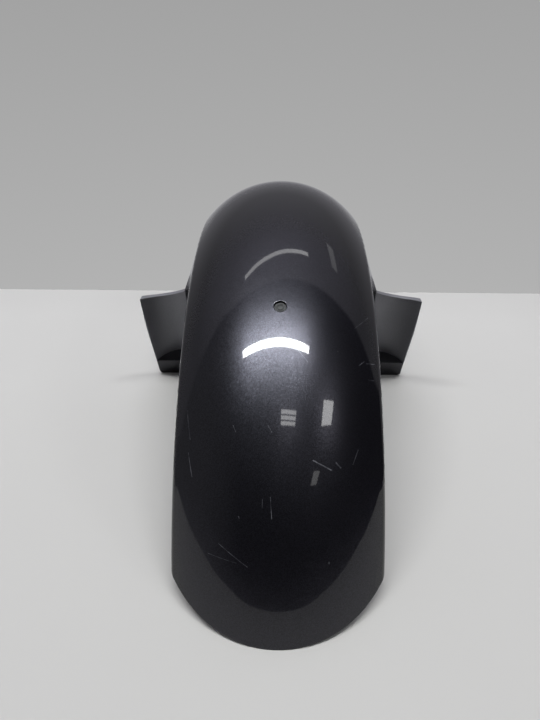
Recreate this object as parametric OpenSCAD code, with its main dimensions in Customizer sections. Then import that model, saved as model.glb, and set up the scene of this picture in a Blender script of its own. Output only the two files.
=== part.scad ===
// Motorcycle mudguard: one moulded shell with two fork-leg guards, and a push
// rivet that closes the hole in its crown. It stands on its long end's tip and
// on the feet of the two guards, as it would on a table.
// X runs across the wheel, Y along it with the long end at -Y, and Z is up.

/* [Crown] */
// Outer radius of the crown, measured from the wheel's axis
crown_r = 320; // [305:1:335]
// Thickness of the moulded wall
wall = 3; // [2.6:0.1:3.4]
// Radius of the arch across the crown
arch_r = 94; // [90:1:104]
// Radius of the shoulder between the arch and a side wall
shoulder_r = 10; // [7:0.5:14]
// Width over the side walls at their rims
body_w = 150; // [144:1:156]
// Depth of the side walls, from the top of the crown to the rim
side_depth = 60; // [54:1:66]
// Outward lean of a side wall, in degrees
side_draft = 3.5; // [2:0.5:5]

/* [Ends] */
// Angle of the long end's tip above the level of the wheel's axis
long_angle = 20; // [18:0.5:23]
// Slope of the cut across the long end
long_cut = 19; // [16:0.5:22]
// Angle of the short end's tip above the level of the wheel's axis
short_angle = 42; // [39:0.5:46]
// Slope of the cut across the short end
short_cut = 12; // [9:0.5:15]
// Radius of the corners between the end cuts and the rims
end_corner_r = 14; // [8:1:18]

/* [Guards] */
// Backward lean of the fork legs and of the guards around them, in degrees
rake = 22.5; // [21:0.5:24]
// Distance from the middle plane to the centre of a fork leg
fork_x = 106; // [104:0.5:108]
// Radius of the guard's dish, concentric with the fork leg
dish_r = 34; // [33:0.5:37]
// Distance from the middle plane to a guard's outer edge
guard_x = 135; // [132:0.5:137]
// Distance along Y from the wheel's axis to the outer edge's foot
foot_y = 25; // [20:0.5:30]
// Height of a guard's top edge at its lowest point
guard_h = 108.5; // [104:0.5:112]
// Radius of the sweep along a guard's top edge
top_sweep_r = 45; // [40:1:60]
// Bulge of the outer edge at its middle
edge_bulge = 1.3; // [0.8:0.1:2]
// Depth of the lip along the top edge, which thins towards the corner
lip_depth = 6; // [5:0.5:8]
// Distance along the fork leg from the foot to the shelf that ends the dish
shelf_s = 23; // [20:0.5:26]
// Distance from the middle plane to the crease between dish and root wall
crease_x = 94; // [92:0.5:96]
// Radius of a guard's outer corners
guard_corner_r = 4; // [3:0.5:6]

/* [Side panels] */
// Depth below the crown at which the side wall starts to flare out
flare_drop = 38; // [37:0.5:42]
// Reach of the flare ahead of the crease, square to the fork leg
flare_front = 60; // [54:1:66]
// Reach of the flare behind the crease, square to the fork leg
flare_back = 50; // [44:1:56]
// Where a side panel's near edge meets the rim, along Y
panel_near_y = -96; // [-104:1:-90]
// Where a side panel's far edge meets the rim, along Y
panel_far_y = 100; // [94:1:108]
// Radius of the fillets between a side panel and the rim
panel_fillet_r = 34; // [26:1:40]

/* [Fork bolts] */
// Radius of the clearance hole for an M6 bolt
bolt_hole_r = 3.3; // [2.7:0.05:4.3]
// Outer radius of a bolt boss
boss_r = 9; // [7.5:0.5:11]
// Distance from the middle plane to a boss's outer face
boss_x = 84; // [83:0.5:86]
// Length of a bolt boss along X
boss_l = 13; // [11:0.5:15]
// Distance along the fork leg from the foot to the lower bolt
bolt_low_s = 56; // [52:1:60]
// Distance between the two bolts of a side
bolt_pitch = 56; // [50:1:60]

/* [Crown rivet] */
// Angle of the rivet above the level of the wheel's axis
rivet_angle = 61; // [56:0.5:68]
// Radius of the recess round the rivet's head
recess_r = 4.6; // [4.4:0.05:5.2]
// Depth of the recess below the crown
recess_d = 3; // [2.6:0.1:3.4]
// Thickness of the seat below the recess
seat_t = 2; // [1.6:0.1:2.6]
// Radius of the rivet's head
head_r = 4.2; // [3.9:0.05:4.3]
// Thickness of the rivet's head
head_t = 1.4; // [1:0.1:1.8]
// Radius of the rivet's shank
shank_r = 3; // [2.6:0.05:3.2]
// Radius of the rivet's spread foot
spread_r = 3.9; // [3.5:0.05:4.3]
// Length of the rivet's spread foot
spread_l = 4; // [3:0.1:5]
// Radius of the rivet's centre pin
pin_r = 1.5; // [1.2:0.05:1.8]

/* [Hidden] */
$fn = 96;
paint = "#2b2b31";
black_plastic = "#17181a";
arc_steps = 8;
fit = 0.1;
// Two curves that flow into each other cross by this much.
lap = 0.02;

// Heights are above the floor that the part stands on.
axle_z = -crown_r * sin(long_angle);
rim_r = crown_r - side_depth;
long_tip = [-crown_r * cos(long_angle), 0];
short_tip = [crown_r * cos(short_angle), axle_z + crown_r * sin(short_angle)];
middle_y = (long_tip[0] + short_tip[0]) / 2;
beyond = 2 * crown_r;
inner_r = 90;

// The guard's section is square to the fork leg. Its depth t counts from the
// outer edge towards the back, and the dish's centre is ahead of that edge.
dish_t = -sqrt(dish_r * dish_r - (guard_x - fork_x) * (guard_x - fork_x));
crease_t = dish_t + sqrt(dish_r * dish_r - (fork_x - crease_x) * (fork_x - crease_x));
dish_depth = dish_t + dish_r;
root_x = body_w / 2 - 2;
crease_h = guard_h + top_sweep_r - sqrt(pow(top_sweep_r, 2) - pow(fork_x + 11 - crease_x, 2));
crease_y = foot_y + crease_t / cos(rake) - crease_h * tan(rake);
crease_r = norm([crease_y, crease_h - axle_z]);
guard_l = 1.5 * guard_h;

function unit(v) = v / norm(v);
function turned(v, a) = [v[0] * cos(a) - v[1] * sin(a), v[0] * sin(a) + v[1] * cos(a)];

// Rounds each corner [x, y, r] of a closed outline with an arc of radius r.
function rounded(corners) = [
    for (i = [0 : len(corners) - 1])
        let (n = len(corners),
             a = corners[(i + n - 1) % n], c = corners[i], b = corners[(i + 1) % n])
        each c[2] == 0 ? [[c[0], c[1]]] :
            corner_arc([c[0], c[1]], unit([a[0] - c[0], a[1] - c[1]]),
                       unit([b[0] - c[0], b[1] - c[1]]), c[2])
];
function corner_arc(p, u, v, r) =
    let (half = acos(u * v) / 2,
         centre = p + unit(u + v) * r / sin(half),
         start = p + u * r / tan(half) - centre,
         side = sign(v[0] * u[1] - v[1] * u[0]))
    [for (k = [0 : arc_steps]) centre + turned(start, side * (180 - 2 * half) * k / arc_steps)];

// A point on the rim's circle, and where the tangents at two such points meet.
function rim_at(y) = [y, axle_z + sqrt(rim_r * rim_r - y * y)];

// Turns a section about the wheel's axis, where the section's X is the
// distance from that axis and its Y the distance from the middle plane.
module about_axle()
    translate([0, 0, axle_z]) mirror([1, 0, 0]) rotate([90, 0, -90])
        rotate_extrude(angle = 180, $fn = 180) children();

// Extrudes a side view, drawn in Y and Z, across the whole part.
module side_view()
    rotate([90, 0, 90]) translate([0, 0, -guard_x - 10]) linear_extrude(2 * guard_x + 20) children();

// Extrudes a front view, drawn in X and Z, along the whole part.
module front_view()
    translate([0, beyond, 0]) rotate([90, 0, 0]) linear_extrude(2 * beyond) children();

// Extrudes a section square to the fork leg, drawn in X and t, along the leg.
module along_fork(from, to)
    translate([0, foot_y, 0]) rotate([rake, 0, 0])
        translate([0, 0, from]) linear_extrude(to - from) children();

module both_sides() {
    children();
    mirror([1, 0, 0]) children();
}

// Section of the arch, taken in by "inset" from its outer face.
module arch_section(inset) {
    r0 = arch_r - inset;
    r1 = shoulder_r - inset;
    c0 = crown_r - arch_r;
    lean = [sin(side_draft), cos(side_draft)];
    k = lean * [rim_r, body_w / 2] - inset;
    turn = asin((k - r1 - lean[0] * c0) / (r0 - r1)) - side_draft;
    out = [cos(turn), sin(turn)];
    centre = [c0, 0] + (r0 - r1) * out;
    low = [inner_r, (k - lean[0] * inner_r) / lean[1]];
    tangent = [c0, 0] + r0 * out;
    shoulder = centre + r1 * lean;
    intersection() {
        translate([c0, 0]) circle(r0);
        polygon([[c0, 0], [c0, 0] + 2 * r0 * out, [c0 + 2 * r0, 0], [c0, 0] + 2 * r0 * [out[0], -out[1]]]);
    }
    polygon([for (p = [tangent, centre, shoulder, low]) p,
             for (p = [low, shoulder, centre, tangent]) [p[0], -p[1]]]);
    for (side = [-1, 1]) translate([centre[0], side * centre[1]]) circle(r1 + lap);
}

// Cuts the corner off between the rim and an end cut that runs from "tip"
// along "way", and leaves it rounded.
module round_corner(tip, way) {
    n = [-way[1], way[0]] * sign(way[0]);
    from = tip + end_corner_r * n - [0, axle_z];
    b = from * way;
    a = -b - sqrt(b * b - from * from + (rim_r + end_corner_r) * (rim_r + end_corner_r));
    centre = from + a * way + [0, axle_z];
    on_cut = centre - end_corner_r * n;
    on_rim = [0, axle_z] + rim_r * unit(centre - [0, axle_z]);
    difference() {
        polygon([centre, on_cut, on_cut + end_corner_r * (way - n), on_rim + 2 * end_corner_r * way - n, on_rim]);
        translate(centre) circle(end_corner_r + lap);
    }
}

// Side view of everything that is kept: the band between crown and rim, cut
// across at both ends, and the side panels that hang from it.
module side_outline() {
    long_way = [cos(long_cut), sin(long_cut)];
    short_way = -[cos(short_cut), sin(short_cut)];
    long_end = long_tip + 2 * side_depth * long_way;
    short_end = short_tip + 2 * side_depth * short_way;
    difference() {
        polygon([long_tip, long_end, [0, axle_z], short_end, short_tip,
                 [short_tip[0], beyond], [long_tip[0] - 50, beyond], [long_tip[0] - 50, 0]]);
        translate([0, axle_z]) circle(rim_r, $fn = 180);
        round_corner(long_tip, long_way);
        round_corner(short_tip, short_way);
    }
    near = rim_at(panel_near_y);
    far = rim_at(panel_far_y);
    near_way = unit([near[1] - axle_z, -near[0]]);
    far_way = -unit([far[1] - axle_z, -far[0]]);
    near_root = near + 0.9 * panel_fillet_r * near_way;
    far_root = far + 0.9 * panel_fillet_r * far_way;
    near_start = near_root - 2 * panel_fillet_r * near_way;
    far_start = far_root - 2 * panel_fillet_r * far_way;
    polygon(rounded([
        [near_start[0], near_start[1], 0],
        [near_root[0], near_root[1], panel_fillet_r],
        [-30, 18, 12],
        [foot_y - 6, 0, 6],
        [foot_y + 22, 0, 12],
        [far_root[0], far_root[1], panel_fillet_r],
        [far_start[0], far_start[1], 0],
        [far_root[0], far_root[1] + side_depth / 2, 0],
        [near_root[0], near_root[1] + side_depth / 2, 0]]));
}

// Front view of a guard below its top sweep, taken in by "inset".
module under_sweep(inset) {
    difference() {
        translate([0, -10]) square([guard_x + 10, guard_h + top_sweep_r + 10]);
        translate([fork_x + 11, guard_h + top_sweep_r]) circle(top_sweep_r + inset);
    }
}

// The flare that carries the side wall out to the crease, taken in by "inset".
// Seen along the fork leg it leaves the wall in a hollow curve on both sides.
module flare(inset) {
    out = crease_x - root_x;
    front_r = (flare_front * flare_front + out * out) / (2 * out);
    back_r = (flare_back * flare_back + out * out) / (2 * out);
    start = crease_t - flare_front;
    end = crease_t + wall + flare_back;
    lean = unit([crown_r - flare_drop, root_x] - [crease_r, crease_x]);
    crease = [crease_r, crease_x] - inset * [-lean[1], lean[0]];
    top = [crown_r - flare_drop, root_x] - inset * [-lean[1], lean[0]];
    intersection() {
        along_fork(-guard_h / 2, 2 * guard_h) difference() {
            translate([root_x - 20, start]) square([out + 20 - inset, end - start]);
            translate([root_x + front_r, start]) circle(front_r + inset, $fn = 180);
            translate([root_x + back_r, end]) circle(back_r + inset, $fn = 180);
        }
        about_axle() polygon([
            [inner_r, 0], [top[0], 0], top, top + 1.5 * (crease - top), [inner_r, 1.5 * crease_x]]);
    }
}

module dish_section(depth)
    intersection() {
        difference() {
            translate([fork_x, dish_t]) circle(dish_r + depth);
            translate([fork_x, dish_t]) circle(dish_r);
        }
        translate([crease_x - 1, 0]) square([guard_x + 10 - crease_x, dish_depth + depth + 1]);
    }

// One guard: the dish with its rolled lip, the shelf and the apron under it.
module guard()
    intersection() {
        union() {
            along_fork(shelf_s, guard_l) dish_section(wall);
            intersection() {
                along_fork(shelf_s, guard_l) intersection() {
                    dish_section(lip_depth);
                    translate([fork_x - lip_depth / 3, dish_t]) circle(dish_r + lip_depth);
                }
                front_view() difference() {
                    under_sweep(0);
                    under_sweep(wall);
                }
            }
            along_fork(shelf_s - wall, shelf_s) intersection() {
                translate([fork_x, dish_t]) circle(dish_r + wall);
                translate([root_x, 0]) square([guard_x - root_x + 5, dish_depth + wall]);
            }
            along_fork(-shelf_s, shelf_s) translate([root_x + 6, 0]) square([guard_x - root_x, wall]);
        }
        front_view() intersection() {
            under_sweep(0);
            guard_front();
        }
    }

// Front view of a guard's outer edge, with its bulge and rounded corners.
module guard_front() {
    edge_r = guard_h * guard_h / 8 / edge_bulge;
    intersection() {
        translate([guard_x + edge_bulge - edge_r, guard_h / 2]) circle(edge_r, $fn = 360);
        translate([root_x - 5, 0]) polygon(rounded([
            [0, 0, 0], [guard_x - root_x + 5, 0, guard_corner_r],
            [guard_x - root_x + 8, guard_l, 0], [0, guard_l, 0]]));
    }
}

module at_bolt(s)
    translate([0, foot_y, 0]) rotate([rake, 0, 0]) translate([0, dish_t, s]) rotate([0, 90, 0]) children();

module at_rivet()
    translate([0, -crown_r * cos(rivet_angle), axle_z + crown_r * sin(rivet_angle)])
        rotate([90 - rivet_angle, 0, 0]) children();

module mudguard() color(paint)
    difference() {
        union() {
            difference() {
                union() {
                    intersection() {
                        union() {
                            about_axle() arch_section(0);
                            both_sides() flare(0);
                        }
                        side_view() side_outline();
                    }
                    both_sides() guard();
                }
                about_axle() arch_section(wall);
                both_sides() flare(wall);
            }
            both_sides() for (s = [bolt_low_s, bolt_low_s + bolt_pitch])
                at_bolt(s) translate([0, 0, boss_x - boss_l]) cylinder(r = boss_r, h = boss_l);
            at_rivet() translate([0, 0, -recess_d - seat_t]) cylinder(r = recess_r + 2, h = recess_d);
        }
        both_sides() for (s = [bolt_low_s, bolt_low_s + bolt_pitch])
            at_bolt(s) translate([0, 0, boss_x - boss_l - 5]) cylinder(r = bolt_hole_r, h = boss_l + 10);
        at_rivet() {
            translate([0, 0, -recess_d]) cylinder(r = recess_r, h = recess_d + 5);
            translate([0, 0, -recess_d - seat_t - 5]) cylinder(r = shank_r + fit, h = 10);
        }
    }

module rivet_sleeve() color(black_plastic)
    at_rivet() difference() {
        union() {
            translate([0, 0, -recess_d]) cylinder(r = head_r, h = head_t);
            translate([0, 0, -recess_d - seat_t - spread_l]) cylinder(r = shank_r, h = seat_t + spread_l);
            translate([0, 0, -recess_d - seat_t - spread_l]) cylinder(r = spread_r, h = spread_l);
        }
        translate([0, 0, -recess_d - seat_t - spread_l - 1])
            cylinder(r = pin_r, h = seat_t + spread_l + head_t + 2);
        translate([0, 0, -recess_d + head_t - 0.5]) cylinder(r = pin_r + 1, h = 1);
    }

module rivet_pin() color(black_plastic)
    at_rivet() {
        translate([0, 0, -recess_d - seat_t - spread_l - 1])
            cylinder(r = pin_r, h = seat_t + spread_l + head_t + 0.5);
        translate([0, 0, -recess_d + head_t - 0.5]) cylinder(r = pin_r + 0.8, h = 0.4);
    }

translate([0, -middle_y, 0]) {
    mudguard();
    rivet_sleeve();
    rivet_pin();
}
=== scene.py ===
"""Motorcycle mudguard: a moulded shell in graphite metallic lacquer, with a black push rivet in its crown.

It stands on its long end's tip and on its two fork-leg guards, on a pale table
under strip lights. Lengths are in metres and places are in the part's own frame.
"""
import math

import bmesh
import bpy
from mathutils import Matrix, Vector


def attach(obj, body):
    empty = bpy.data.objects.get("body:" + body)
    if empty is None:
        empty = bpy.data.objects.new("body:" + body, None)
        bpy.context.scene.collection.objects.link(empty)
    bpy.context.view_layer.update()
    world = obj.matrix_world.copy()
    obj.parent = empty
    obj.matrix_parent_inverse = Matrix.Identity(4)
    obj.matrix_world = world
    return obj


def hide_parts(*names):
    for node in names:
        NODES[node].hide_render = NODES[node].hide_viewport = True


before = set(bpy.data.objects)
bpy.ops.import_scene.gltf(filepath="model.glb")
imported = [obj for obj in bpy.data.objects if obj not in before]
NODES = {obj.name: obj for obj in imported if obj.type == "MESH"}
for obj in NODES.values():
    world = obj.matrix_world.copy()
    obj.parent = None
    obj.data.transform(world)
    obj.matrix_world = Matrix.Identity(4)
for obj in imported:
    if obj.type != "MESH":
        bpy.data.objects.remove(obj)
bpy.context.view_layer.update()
MM = 0.001

# Sizes of the moulding in millimetres, and its angles round the wheel's axis from level
CROWN_R = 320
ARCH_R = 94
LONG_END, SHORT_END = math.radians(20), math.radians(42)
CREASE_X = 94
WALL_X = 75
# The guards' feet stand behind the axle. Up the fork leg comes the dish's shelf, and past LIP_UP
# only the lip faces upwards.
FOOT_BACK = 25
SHELF_UP = 23
LIP_UP = 80
# The rivet's angle, and how far below the crown the rings lie, half sunk in the face of its head.
RIVET_AT = math.radians(61)
RINGS_DROP = 1.62
# Moulded edges are broken by about a millimetre, in the finishes only.
EDGE_BREAK = 0.9
# The wheel's axis, which the crown turns about, with the part's middle over the frame's origin.
AXLE = Vector((0, (math.cos(LONG_END) - math.cos(SHORT_END)) / 2, -math.sin(LONG_END))) * CROWN_R * MM


# The view
def aim_camera():
    """The camera stands about 510 mm in front of the axle and 340 mm above the table, and looks down."""
    pitch, turn = math.radians(31.06), math.radians(1.165)
    place = Vector((0, AXLE.y - 0.5092, 0.3399))
    data = bpy.data.cameras.new("photo_camera")
    data.lens, data.sensor_width, data.clip_start = 28.0, 36.0, 0.01
    camera = bpy.data.objects.new("photo_camera", data)
    bpy.context.scene.collection.objects.link(camera)
    ahead = Vector((-math.sin(turn) * math.cos(pitch), math.cos(turn) * math.cos(pitch), -math.sin(pitch)))
    right = ahead.cross(Vector((0, 0, 1))).normalized()
    up = right.cross(ahead)
    camera.matrix_world = Matrix.Translation(place) @ Matrix((right, up, -ahead)).transposed().to_4x4()
    bpy.context.scene.camera = camera


# Nodes and colours
def linear(hex_colour):
    """An sRGB hex colour as the linear colour that a shader reads."""
    parts = [int(hex_colour[i:i + 2], 16) / 255 for i in (1, 3, 5)]
    return (*[p / 12.92 if p <= 0.04045 else ((p + 0.055) / 1.055) ** 2.4 for p in parts], 1.0)


def add(tree, kind, sockets=None, **settings):
    """Adds a node, sets its properties, and fills or links its sockets."""
    node = tree.nodes.new(kind)
    for name, value in settings.items():
        setattr(node, name, value)
    for key, value in (sockets or {}).items():
        if isinstance(value, bpy.types.NodeSocket):
            tree.links.new(value, node.inputs[key])
        else:
            node.inputs[key].default_value = value
    return node


def start_material(name):
    """An empty material, with its tree and its output node."""
    material = bpy.data.materials.new(name)
    material.use_nodes = True
    tree = material.node_tree
    tree.nodes.clear()
    return material, tree, add(tree, "ShaderNodeOutputMaterial")


# The finishes
# Scratches and specks on the lacquer. An end of a mark is given by its millimetres across from
# the middle and its degrees round the wheel's axis, where 0 is level in front of the axle and 90
# is above it. The last number is half the mark's width in millimetres.
SCRATCHES = [
    ((55, 54.2), (59.5, 55.1), 0.35),
    ((61, 54.9), (68.5, 55.4), 0.3),
    ((62, 52.6), (66.5, 52.8), 0.5),
    ((53, 59.6), (65.5, 62.8), 0.2),
    ((11, 55.2), (19, 53.4), 0.12),
    ((22, 41.7), (34, 40.6), 0.5),
    ((37, 41.5), (40, 40.9), 0.6),
    ((48.5, 41.3), (52.5, 43.1), 0.35),
    ((-7, 45.6), (-4.5, 44.8), 0.2),
    ((-30, 45.7), (-28, 44.9), 0.25),
    ((-38, 32), (-19, 29.7), 0.25),
    ((-45, 30.6), (-26, 30), 0.15),
    ((-10, 37.3), (-10, 36.4), 0.25),
    ((-5, 37.6), (-4, 35.2), 0.3),
    ((-61, 42.5), (-57.5, 39.5), 0.35),
    ((-63.5, 48.1), (-60, 44.2), 0.25),
    ((32.5, 30.1), (32.5, 30), 0.75),
    ((-25, 35.3), (-24.5, 35.1), 0.4),
]


def on_crown(across, up):
    """The point of the crown so many millimetres across and degrees up round the wheel's axis."""
    angle = math.radians(up)
    reach = CROWN_R - ARCH_R + math.sqrt(ARCH_R ** 2 - across ** 2)
    return AXLE + Vector((across, -reach * math.cos(angle), reach * math.sin(angle))) * MM


def outward(point):
    """The direction out of the arch at a point of it."""
    radial = Vector((0, point.y - AXLE.y, point.z - AXLE.z))
    ring = radial.normalized() * (CROWN_R - ARCH_R) * MM
    return (Vector((point.x, 0, 0)) + radial - ring).normalized()


def near_line(tree, place, start, end, width):
    """1 on the mark between two points and 0 beyond its width, followed over the arch's curve."""
    along, out = end - start, outward((start + end) / 2)
    away = add(tree, "ShaderNodeVectorMath", {0: place, 1: start}, operation="SUBTRACT").outputs[0]
    # Depth counts for little, because a straight line between the ends lies under the curve.
    depth = add(tree, "ShaderNodeVectorMath", {0: away, 1: 0.9 * out}, operation="DOT_PRODUCT")
    depth = add(tree, "ShaderNodeVectorMath", {0: out, "Scale": depth.outputs["Value"]}, operation="SCALE")
    away = add(tree, "ShaderNodeVectorMath", {0: away, 1: depth.outputs[0]}, operation="SUBTRACT").outputs[0]
    share = along / along.length_squared
    dot = add(tree, "ShaderNodeVectorMath", {0: away, 1: share}, operation="DOT_PRODUCT").outputs["Value"]
    part = add(tree, "ShaderNodeMath", {0: dot, 1: 1.0}, operation="MULTIPLY", use_clamp=True)
    foot = add(tree, "ShaderNodeVectorMath", {0: along, "Scale": part.outputs[0]}, operation="SCALE")
    gap = add(tree, "ShaderNodeVectorMath", {0: away, 1: foot.outputs[0]}, operation="DISTANCE")
    return add(tree, "ShaderNodeMapRange", {
        "Value": gap.outputs["Value"], "From Min": width, "From Max": 0.35 * width,
        "To Min": 0.0, "To Max": 1.0}).outputs[0]


def all_marks(tree, place):
    """1 on every scratch and speck of dust, and 0 between them."""
    # Cells of 11 mm, of which few hold a speck, at most 0.4 mm across.
    dust = add(tree, "ShaderNodeTexVoronoi", {"Vector": place, "Scale": 1 / (11 * MM)}, feature="F1")
    marks = add(tree, "ShaderNodeMath", {0: dust.outputs["Distance"], 1: 0.018}, operation="LESS_THAN")
    for start, end, width in SCRATCHES:
        mark = near_line(tree, place, on_crown(*start), on_crown(*end), width * MM)
        marks = add(tree, "ShaderNodeMath", {0: marks.outputs[0], 1: mark}, operation="MAXIMUM")
    return marks.outputs[0]


def graphite_lacquer():
    """Graphite metallic car lacquer on a moulded plastic shell, sprayed and clear-coated.

    The flakes give a soft blue-grey glow round each lamp's reflection, the clear
    coat gives the sharp white reflection itself, and away from the lamps the
    colour falls to near black. Fine scratches and dust show pale on it.
    """
    material, tree, out = start_material("graphite_metallic_lacquer")
    place = add(tree, "ShaderNodeTexCoord").outputs["Object"]
    # A real flake is about 0.03 mm; it is drawn 0.4 mm wide so that it shows.
    flakes = add(tree, "ShaderNodeTexVoronoi", {"Vector": place, "Scale": 1 / (0.4 * MM)}, feature="F1")
    tilt = add(tree, "ShaderNodeVectorMath", {
        0: flakes.outputs["Color"], 1: (0.5, 0.5, 0.5)}, operation="SUBTRACT")
    tilt = add(tree, "ShaderNodeVectorMath", {0: tilt.outputs[0], "Scale": 0.08}, operation="SCALE")
    edge = add(tree, "ShaderNodeBevel", {"Radius": EDGE_BREAK * MM}, samples=6)
    leaf = add(tree, "ShaderNodeVectorMath", {0: edge.outputs[0], 1: tilt.outputs[0]}, operation="ADD")
    leaf = add(tree, "ShaderNodeVectorMath", {0: leaf.outputs[0]}, operation="NORMALIZE")
    # Each flake lies in its own shade of the same grey.
    shade = add(tree, "ShaderNodeSeparateColor", {0: flakes.outputs["Color"]})
    colour = add(tree, "ShaderNodeMix", {
        "Factor": shade.outputs[0], 6: linear("#28272b"), 7: linear("#38383e")}, data_type="RGBA")
    # A mark is pale where the coat is torn, and it comes and goes along its length.
    broken = add(tree, "ShaderNodeTexNoise", {"Vector": place, "Scale": 1 / (4 * MM), "Detail": 2.0})
    broken = add(tree, "ShaderNodeMapRange", {
        "Value": broken.outputs[0], "From Min": 0.35, "From Max": 0.65, "To Min": 0.08, "To Max": 0.42})
    faint = add(tree, "ShaderNodeMath", {
        0: all_marks(tree, place), 1: broken.outputs[0]}, operation="MULTIPLY")
    flake_part = add(tree, "ShaderNodeMath", {0: 1.0, 1: faint.outputs[0]}, operation="SUBTRACT")
    colour = add(tree, "ShaderNodeMix", {
        "Factor": faint.outputs[0], 6: colour.outputs[2], 7: linear("#a9abb3")}, data_type="RGBA")
    # Handling leaves the flake coat's sheen a little uneven over a hand's width.
    wiped = add(tree, "ShaderNodeTexNoise", {"Vector": place, "Scale": 1 / (45 * MM), "Detail": 3.0})
    rough = add(tree, "ShaderNodeMapRange", {
        "Value": wiped.outputs[0], "From Min": 0.3, "From Max": 0.7, "To Min": 0.31, "To Max": 0.345})
    lacquer = add(tree, "ShaderNodeBsdfPrincipled", {
        "Base Color": colour.outputs[2], "Metallic": flake_part.outputs[0], "Roughness": rough.outputs[0],
        "Specular Tint": linear("#404044"), "Normal": leaf.outputs[0],
        "Coat Weight": 1.0, "Coat Roughness": 0.04, "Coat IOR": 1.36,
        "Coat Normal": edge.outputs[0]})
    tree.links.new(lacquer.outputs[0], out.inputs[0])
    return material


def satin_graphite_and_sheen():
    """The same graphite on the fork-leg guards without clear coat, satin and smooth. Its paler colour is
    painted reflection of the pale table that the guards face, and on the lips' tops a painted highlight.
    """
    material, tree, out = start_material("satin_graphite_and_painted_sheen")
    place = add(tree, "ShaderNodeTexCoord").outputs["Object"]
    mist = add(tree, "ShaderNodeTexNoise", {"Vector": place, "Scale": 1 / (1.2 * MM), "Detail": 3.0})
    flow = add(tree, "ShaderNodeTexNoise", {"Vector": place, "Scale": 1 / (35 * MM), "Detail": 2.0})
    edge = add(tree, "ShaderNodeBevel", {"Radius": EDGE_BREAK * MM}, samples=6)
    # Painted reflection: these greys are paler than the lacquer's so that the guards show the table's light
    # they face.
    colour = add(tree, "ShaderNodeMix", {
        "Factor": mist.outputs[0], 6: linear("#757579"), 7: linear("#87878d")}, data_type="RGBA")
    rough = add(tree, "ShaderNodeMapRange", {"Value": flow.outputs[0], "To Min": 0.42, "To Max": 0.54})
    satin = add(tree, "ShaderNodeBsdfPrincipled", {
        "Base Color": colour.outputs[2], "Metallic": 0.5, "Roughness": rough.outputs[0],
        "Normal": edge.outputs[0]})
    tree.links.new(satin.outputs[0], out.inputs[0])
    return material


def bare_moulding_and_shade():
    """Black ABS as moulded, left unpainted inside: even, satin, with a fine spark-eroded grain. On the shelf
    under each guard's dish it is painted shade.
    """
    material, tree, out = start_material("bare_black_abs_and_shelf_shade")
    place = add(tree, "ShaderNodeTexCoord").outputs["Object"]
    # Spark erosion leaves a grain of about 0.4 mm.
    grain = add(tree, "ShaderNodeTexNoise", {"Vector": place, "Scale": 1 / (0.8 * MM), "Detail": 2.0})
    flow = add(tree, "ShaderNodeTexNoise", {"Vector": place, "Scale": 1 / (60 * MM), "Detail": 2.0})
    edge = add(tree, "ShaderNodeBevel", {"Radius": EDGE_BREAK * MM}, samples=6)
    bump = add(tree, "ShaderNodeBump", {
        "Strength": 0.25, "Distance": 0.05 * MM, "Height": grain.outputs[0], "Normal": edge.outputs[0]})
    colour = add(tree, "ShaderNodeMix", {
        "Factor": flow.outputs[0], 6: linear("#222326"), 7: linear("#2e2f33")}, data_type="RGBA")
    rough = add(tree, "ShaderNodeMapRange", {"Value": grain.outputs[0], "To Min": 0.42, "To Max": 0.6})
    plastic = add(tree, "ShaderNodeBsdfPrincipled", {
        "Base Color": colour.outputs[2], "Roughness": rough.outputs[0], "IOR": 1.53,
        "Normal": bump.outputs[0]})
    tree.links.new(plastic.outputs[0], out.inputs[0])
    return material


def rivet_nylon(name, worn):
    """Black nylon of the push rivet: satin, its moulded faces rubbed a little paler."""
    material, tree, out = start_material(name)
    place = add(tree, "ShaderNodeTexCoord").outputs["Object"]
    rub = add(tree, "ShaderNodeTexNoise", {"Vector": place, "Scale": 1 / (1.5 * MM), "Detail": 3.0})
    edge = add(tree, "ShaderNodeBevel", {"Radius": 0.25 * MM}, samples=6)
    colour = add(tree, "ShaderNodeMix", {
        "Factor": rub.outputs[0], 6: linear("#1a1b1d"), 7: linear(worn)}, data_type="RGBA")
    rough = add(tree, "ShaderNodeMapRange", {"Value": rub.outputs[0], "To Min": 0.4, "To Max": 0.55})
    nylon = add(tree, "ShaderNodeBsdfPrincipled", {
        "Base Color": colour.outputs[2], "Roughness": rough.outputs[0], "Specular IOR Level": 0.3,
        "Normal": edge.outputs[0]})
    tree.links.new(nylon.outputs[0], out.inputs[0])
    return material


# The shell
# The places of its finishes in its list of materials.
LACQUER, BARE_AND_SHADE, SATIN_AND_SHEEN = range(3)
# The fork legs lean back, and the guards run along them from their feet.
RAKE = math.radians(22.5)
FOOT = Vector((0, FOOT_BACK * MM + AXLE.y, 0))
UP_LEG = Vector((0, -math.sin(RAKE), math.cos(RAKE)))
BEHIND_LEG = Vector((0, math.cos(RAKE), math.sin(RAKE)))


# Which finish a face takes depends on where its centre is and on how squarely it faces one way,
# which is the cosine from its normal to that way.
def is_dish(centre, normal):
    """True for a face of a guard's dish, which lies round the fork leg above the shelf, or of its lip, whose
    upward faces take the pale satin as a painted highlight.
    """
    height = (centre - FOOT).dot(UP_LEG)
    beyond_crease = abs(centre.x) > (CREASE_X - 1) * MM
    dish = height > (SHELF_UP + 0.5) * MM and normal.dot(BEHIND_LEG) < -0.3
    # Painted highlight: the lip's upward faces are made pale for the bright strip along its rolled top edge.
    lip = height > LIP_UP * MM and normal.z > 0.7
    return beyond_crease and (dish or lip)


def is_shaded_shelf(centre, normal):
    """True for the shelf under a dish, which is given the black moulding finish as painted shade, since it
    lies in shade under the dish.
    """
    height = (centre - FOOT).dot(UP_LEG)
    at_shelf = abs(height - SHELF_UP * MM) < 0.4 * MM
    return abs(centre.x) > (WALL_X + 1) * MM and at_shelf and normal.dot(UP_LEG) > 0.9


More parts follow.
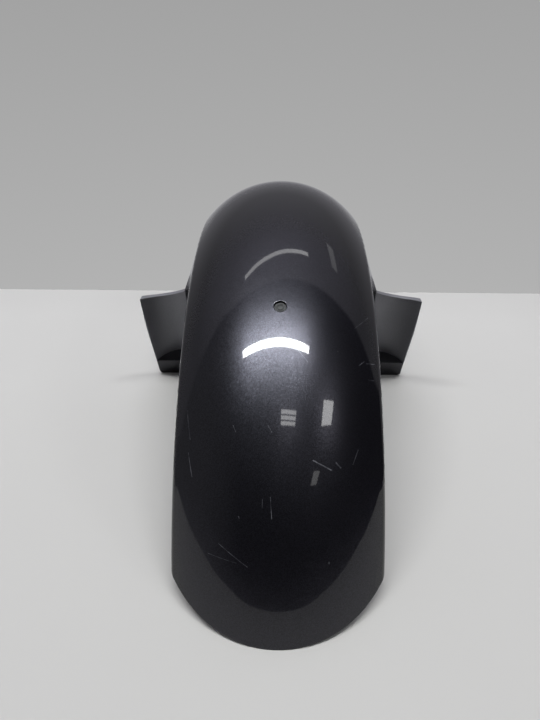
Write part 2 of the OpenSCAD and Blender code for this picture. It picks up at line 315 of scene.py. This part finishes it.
def is_bare(centre, normal):
    """True for a face on the inside of the arch or of a flare, which the spray doesn't reach."""
    inside_crease = abs(centre.x) <= (CREASE_X - 2) * MM
    return inside_crease and outward(centre).dot(normal) < -0.25


def dress_shell(lacquer, bare, satin):
    """A merged copy of the shell that keeps the CAD surface's own normals, in three finishes."""
    mesh = NODES["mudguard"].data.copy()
    mesh.name = "shell"
    kept = mesh.attributes.new("cad_normal", "FLOAT_VECTOR", "CORNER")
    flat = [part for corner in mesh.corner_normals for part in corner.vector]
    kept.data.foreach_set("vector", flat)
    work = bmesh.new()
    work.from_mesh(mesh)
    bmesh.ops.remove_doubles(work, verts=work.verts, dist=2e-6)
    bmesh.ops.dissolve_degenerate(work, edges=work.edges, dist=1e-7)
    work.to_mesh(mesh)
    work.free()
    flat = [0.0] * 3 * len(mesh.loops)
    mesh.attributes["cad_normal"].data.foreach_get("vector", flat)
    mesh.normals_split_custom_set([flat[i:i + 3] for i in range(0, len(flat), 3)])
    mesh.attributes.remove(mesh.attributes["cad_normal"])
    mesh.materials.clear()
    for finish in (lacquer, bare, satin):
        mesh.materials.append(finish)
    for face in mesh.polygons:
        face.material_index = LACQUER
        if is_dish(face.center, face.normal):
            face.material_index = SATIN_AND_SHEEN
        # The shelf takes the black moulding finish as painted shade.
        elif is_bare(face.center, face.normal) or is_shaded_shelf(face.center, face.normal):
            face.material_index = BARE_AND_SHADE
    shell = bpy.data.objects.new("shell", mesh)
    bpy.context.scene.collection.objects.link(shell)
    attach(shell, "root")
    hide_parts("mudguard")


# The push rivet
def rivet_rings(material):
    """The raised rings moulded on the rivet's head, one round the pin and one near the rim."""
    tree = bpy.data.node_groups.new("moulded_rings", "GeometryNodeTree")
    holder = bpy.data.objects.new("rings_maker", bpy.data.meshes.new("rings_maker"))
    bpy.context.scene.collection.objects.link(holder)
    maker = holder.modifiers.new("rings", "NODES")
    inputs = []
    for name, kind, value in (
            ("Rings", "NodeSocketInt", 2), ("First Radius", "NodeSocketFloat", 1.75 * MM),
            ("Spacing", "NodeSocketFloat", 1.5 * MM), ("Bead", "NodeSocketFloat", 0.22 * MM)):
        socket = tree.interface.new_socket(name, in_out="INPUT", socket_type=kind)
        inputs.append((socket.identifier, value))
    tree.interface.new_socket("Geometry", in_out="OUTPUT", socket_type="NodeSocketGeometry")
    sizes = add(tree, "NodeGroupInput").outputs
    number = add(tree, "GeometryNodeInputIndex").outputs["Index"]
    step = add(tree, "ShaderNodeMath", {0: number, 1: sizes["Spacing"]}, operation="MULTIPLY")
    radius = add(tree, "ShaderNodeMath", {0: step.outputs[0], 1: sizes["First Radius"]}, operation="ADD")
    centres = add(tree, "GeometryNodePoints", {"Count": sizes["Rings"]})
    ring = add(tree, "GeometryNodeCurvePrimitiveCircle", {"Resolution": 48, "Radius": 1.0}, mode="RADIUS")
    rings = add(tree, "GeometryNodeInstanceOnPoints", {
        "Points": centres.outputs[0], "Instance": ring.outputs[0], "Scale": radius.outputs[0]})
    rings = add(tree, "GeometryNodeRealizeInstances", {"Geometry": rings.outputs[0]})
    bead = add(tree, "GeometryNodeCurvePrimitiveCircle", {
        "Resolution": 8, "Radius": sizes["Bead"]}, mode="RADIUS")
    solid = add(tree, "GeometryNodeCurveToMesh", {
        "Curve": rings.outputs[0], "Profile Curve": bead.outputs[0]})
    whole = add(tree, "GeometryNodeRealizeInstances", {"Geometry": solid.outputs[0]})
    finish = add(tree, "GeometryNodeSetMaterial", {"Geometry": whole.outputs[0], "Material": material})
    add(tree, "NodeGroupOutput", {"Geometry": finish.outputs[0]})
    maker.node_group = tree
    for identifier, value in inputs:
        maker[identifier] = value
    made = holder.evaluated_get(bpy.context.evaluated_depsgraph_get())
    mesh = bpy.data.meshes.new_from_object(made)
    bpy.data.objects.remove(holder)
    # The head's face is square to the rivet's axis.
    axis = Vector((0, -math.cos(RIVET_AT), math.sin(RIVET_AT)))
    place = AXLE + axis * (CROWN_R - RINGS_DROP) * MM
    mesh.transform(Matrix.Translation(place) @ Matrix.Rotation(math.pi / 2 - RIVET_AT, 4, "X"))
    for face in mesh.polygons:
        face.use_smooth = True
    rings = bpy.data.objects.new("rivet_rings", mesh)
    bpy.context.scene.collection.objects.link(rings)
    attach(rings, "root")


# Table and room
def table_top():
    """Pale laminate, a little uneven where it has been wiped, with painted shade darkening it towards its
    near edge.
    """
    material, tree, out = start_material("pale_laminate")
    place = add(tree, "ShaderNodeTexCoord").outputs["Object"]
    wiped = add(tree, "ShaderNodeTexNoise", {"Vector": place, "Scale": 1 / 0.25, "Detail": 4.0})
    colour = add(tree, "ShaderNodeMix", {
        "Factor": wiped.outputs[0], 6: linear("#cacac8"), 7: linear("#d1d1cf")}, data_type="RGBA")
    # Painted shade: it is drawn darker towards its near edge, away from the wall, where the table gets less
    # light.
    along = add(tree, "ShaderNodeSeparateXYZ", {0: place}).outputs["Y"]
    near = add(tree, "ShaderNodeMapRange", {
        "Value": along, "From Min": 0.2, "From Max": -0.35, "To Max": 0.85})
    colour = add(tree, "ShaderNodeMix", {
        "Factor": near.outputs[0], 6: colour.outputs[2], 7: linear("#b9b9b7")}, data_type="RGBA")
    laminate = add(tree, "ShaderNodeBsdfPrincipled", {
        "Base Color": colour.outputs[2], "Roughness": 0.55, "Specular IOR Level": 0.1})
    # The table can be looked through from below, so that the part's underside shows.
    seen = add(tree, "ShaderNodeMath", {
        0: add(tree, "ShaderNodeNewGeometry").outputs["Backfacing"],
        1: add(tree, "ShaderNodeLightPath").outputs["Is Camera Ray"]}, operation="MULTIPLY")
    clear = add(tree, "ShaderNodeBsdfTransparent")
    mixed = add(tree, "ShaderNodeMixShader", {
        0: seen.outputs[0], 1: laminate.outputs[0], 2: clear.outputs[0]})
    tree.links.new(mixed.outputs[0], out.inputs[0])
    return material


def lay_floor(name, corners, faces, material):
    """A flat piece of the table, which belongs to the stage."""
    mesh = bpy.data.meshes.new(name)
    mesh.from_pydata([(x, y, 0.0) for x, y in corners], [], faces)
    mesh.materials.append(material)
    floor = bpy.data.objects.new(name, mesh)
    bpy.context.scene.collection.objects.link(floor)
    return floor


def set_stage():
    """The table ends behind the part. Its lit middle shows in the lacquer and the rest doesn't."""
    material = table_top()
    # Its far edge, and how far it reaches on the other sides.
    far, wide = 0.2829, 2.5
    # The middle's right half, from its front corner round to the far edge.
    half = [(0.0, -0.50), (0.23, -0.54), (0.41, -0.41), (0.37, -0.16), (0.20, -0.10), (0.20, far)]
    middle = half + [(-x, y) for x, y in reversed(half[1:])]
    lay_floor("table_middle", middle, [tuple(range(len(middle)))], material)
    # The rest lies round the middle, in a right and a left piece that meet in front of it.
    front, front_right, far_right, far_left, front_left = range(len(middle), len(middle) + 5)
    corners = middle + [(0.0, -wide), (wide, -wide), (wide, far), (-wide, far), (-wide, -wide)]
    right_edge = range(len(half) - 1, -1, -1)
    left_edge = range(len(middle) - 1, len(half) - 1, -1)
    right = (front, front_right, far_right, *right_edge)
    left = (front, 0, *left_edge, far_left, front_left)
    rest = lay_floor("table_rest", corners, [right, left], material)
    rest.visible_glossy = False


def lamp(name, centre, size, strength, turn=0.0, glints_only=False):
    """A ceiling lamp that faces down. Its strength is its face's brightness, where 1 is white paper.

    A lamp for glints only shows in polished and metallic finishes and lights nothing matt.
    """
    data = bpy.data.lights.new(name, "AREA")
    data.shape, data.size, data.size_y = "RECTANGLE", *size
    data.energy = strength * math.pi * size[0] * size[1]
    made = bpy.data.objects.new(name, data)
    made.location, made.rotation_euler.z = centre, math.radians(turn)
    made.visible_camera = False
    if glints_only:
        made.visible_diffuse = False
        data.color = (0.92, 1.0, 0.98)
    bpy.context.scene.collection.objects.link(made)


def light_room():
    """Strip lights, a louvred lamp, two panels and a far window's light, 2.4 m above the table."""
    lamp("strip_near", (-0.18, -0.44, 2.4), (2.48, 0.13), 57)
    # A second lamp in the same place feeds the flakes' glow and leaves the table as it is.
    lamp("strip_near_tubes", (-0.2, -0.44, 2.39), (2.2, 0.13), 66, glints_only=True)
    lamp("strip_far", (-0.16, 1.215, 2.4), (2.2, 0.11), 4.4, 12.2)
    for y in (-1.60, -1.715, -1.83):
        lamp("louvre", (0.405, y, 2.4), (0.65, 0.085), 9)
    lamp("panel_right", (2.48, -1.38, 2.4), (0.75, 0.6), 11, 10)
    lamp("panel_back", (2.5, -3.4, 2.4), (0.5, 0.6), 2.4)
    lamp("window_far", (2.15, 2.38, 2.4), (0.42, 0.78), 0.7, 18)


def paint_room():
    """The pale wall behind the table, and for reflections a lit side and a dark side of the room."""
    world = bpy.data.worlds.new("room")
    world.use_nodes = True
    tree = world.node_tree
    tree.nodes.clear()
    way = add(tree, "ShaderNodeTexCoord").outputs["Generated"]
    height = add(tree, "ShaderNodeSeparateXYZ", {0: way}).outputs["Z"]
    # The wall, a touch lighter towards the table.
    up_wall = add(tree, "ShaderNodeMapRange", {"Value": height, "From Min": -0.41, "From Max": 0.03})
    wall = add(tree, "ShaderNodeMix", {
        "Factor": up_wall.outputs[0], 6: linear("#b3b3b3"), 7: linear("#a3a3a3")}, data_type="RGBA")
    # The lit side of the room starts at a beam on the ceiling behind the near strip.
    side = add(tree, "ShaderNodeVectorMath", {
        0: way, 1: Vector((-0.08, 1, 0))}, operation="DOT_PRODUCT").outputs["Value"]
    lit = add(tree, "ShaderNodeMapRange", {"Value": side, "From Min": 0.29, "From Max": 0.32})
    high = add(tree, "ShaderNodeMapRange", {"Value": height, "From Min": 0.3, "From Max": 0.8})
    bright = add(tree, "ShaderNodeMix", {
        "Factor": high.outputs[0], 6: linear("#919096"), 7: linear("#c4c2cd")}, data_type="RGBA")
    # The pale wall itself shows low down, where the crown turns away from the camera.
    low = add(tree, "ShaderNodeMapRange", {"Value": height, "From Min": 0.0, "From Max": -0.2})
    ahead = add(tree, "ShaderNodeMapRange", {"Value": side, "From Min": 0.7, "From Max": 0.93})
    low = add(tree, "ShaderNodeMath", {0: low.outputs[0], 1: ahead.outputs[0]}, operation="MULTIPLY")
    bright = add(tree, "ShaderNodeMix", {
        "Factor": low.outputs[0], 6: bright.outputs[2], 7: linear("#b0b0b3")}, data_type="RGBA")
    # A paler screen stands to the left, low down.
    left = add(tree, "ShaderNodeSeparateXYZ", {0: way}).outputs["X"]
    left = add(tree, "ShaderNodeMapRange", {"Value": left, "From Min": -0.55, "From Max": -0.95})
    dark = add(tree, "ShaderNodeMix", {
        "Factor": left.outputs[0], 6: linear("#47464d"), 7: linear("#7c7c80")}, data_type="RGBA")
    room = add(tree, "ShaderNodeMix", {
        "Factor": lit.outputs[0], 6: dark.outputs[2], 7: bright.outputs[2]}, data_type="RGBA")
    camera = add(tree, "ShaderNodeLightPath").outputs["Is Camera Ray"]
    seen = add(tree, "ShaderNodeMix", {
        "Factor": camera, 6: room.outputs[2], 7: wall.outputs[2]}, data_type="RGBA")
    back = add(tree, "ShaderNodeBackground", {"Color": seen.outputs[2], "Strength": 1.0})
    add(tree, "ShaderNodeOutputWorld", {0: back.outputs[0]})
    bpy.context.scene.world = world


aim_camera()
bpy.context.scene.view_settings.view_transform = "Standard"
set_stage()
light_room()
paint_room()
dress_shell(graphite_lacquer(), bare_moulding_and_shade(), satin_graphite_and_sheen())
NODES["rivet_sleeve"].material_slots[0].material = rivet_nylon("rivet_sleeve_nylon", "#2c2d31")
pin_nylon = rivet_nylon("rivet_pin_nylon", "#27282c")
NODES["rivet_pin"].material_slots[0].material = pin_nylon
rivet_rings(pin_nylon)
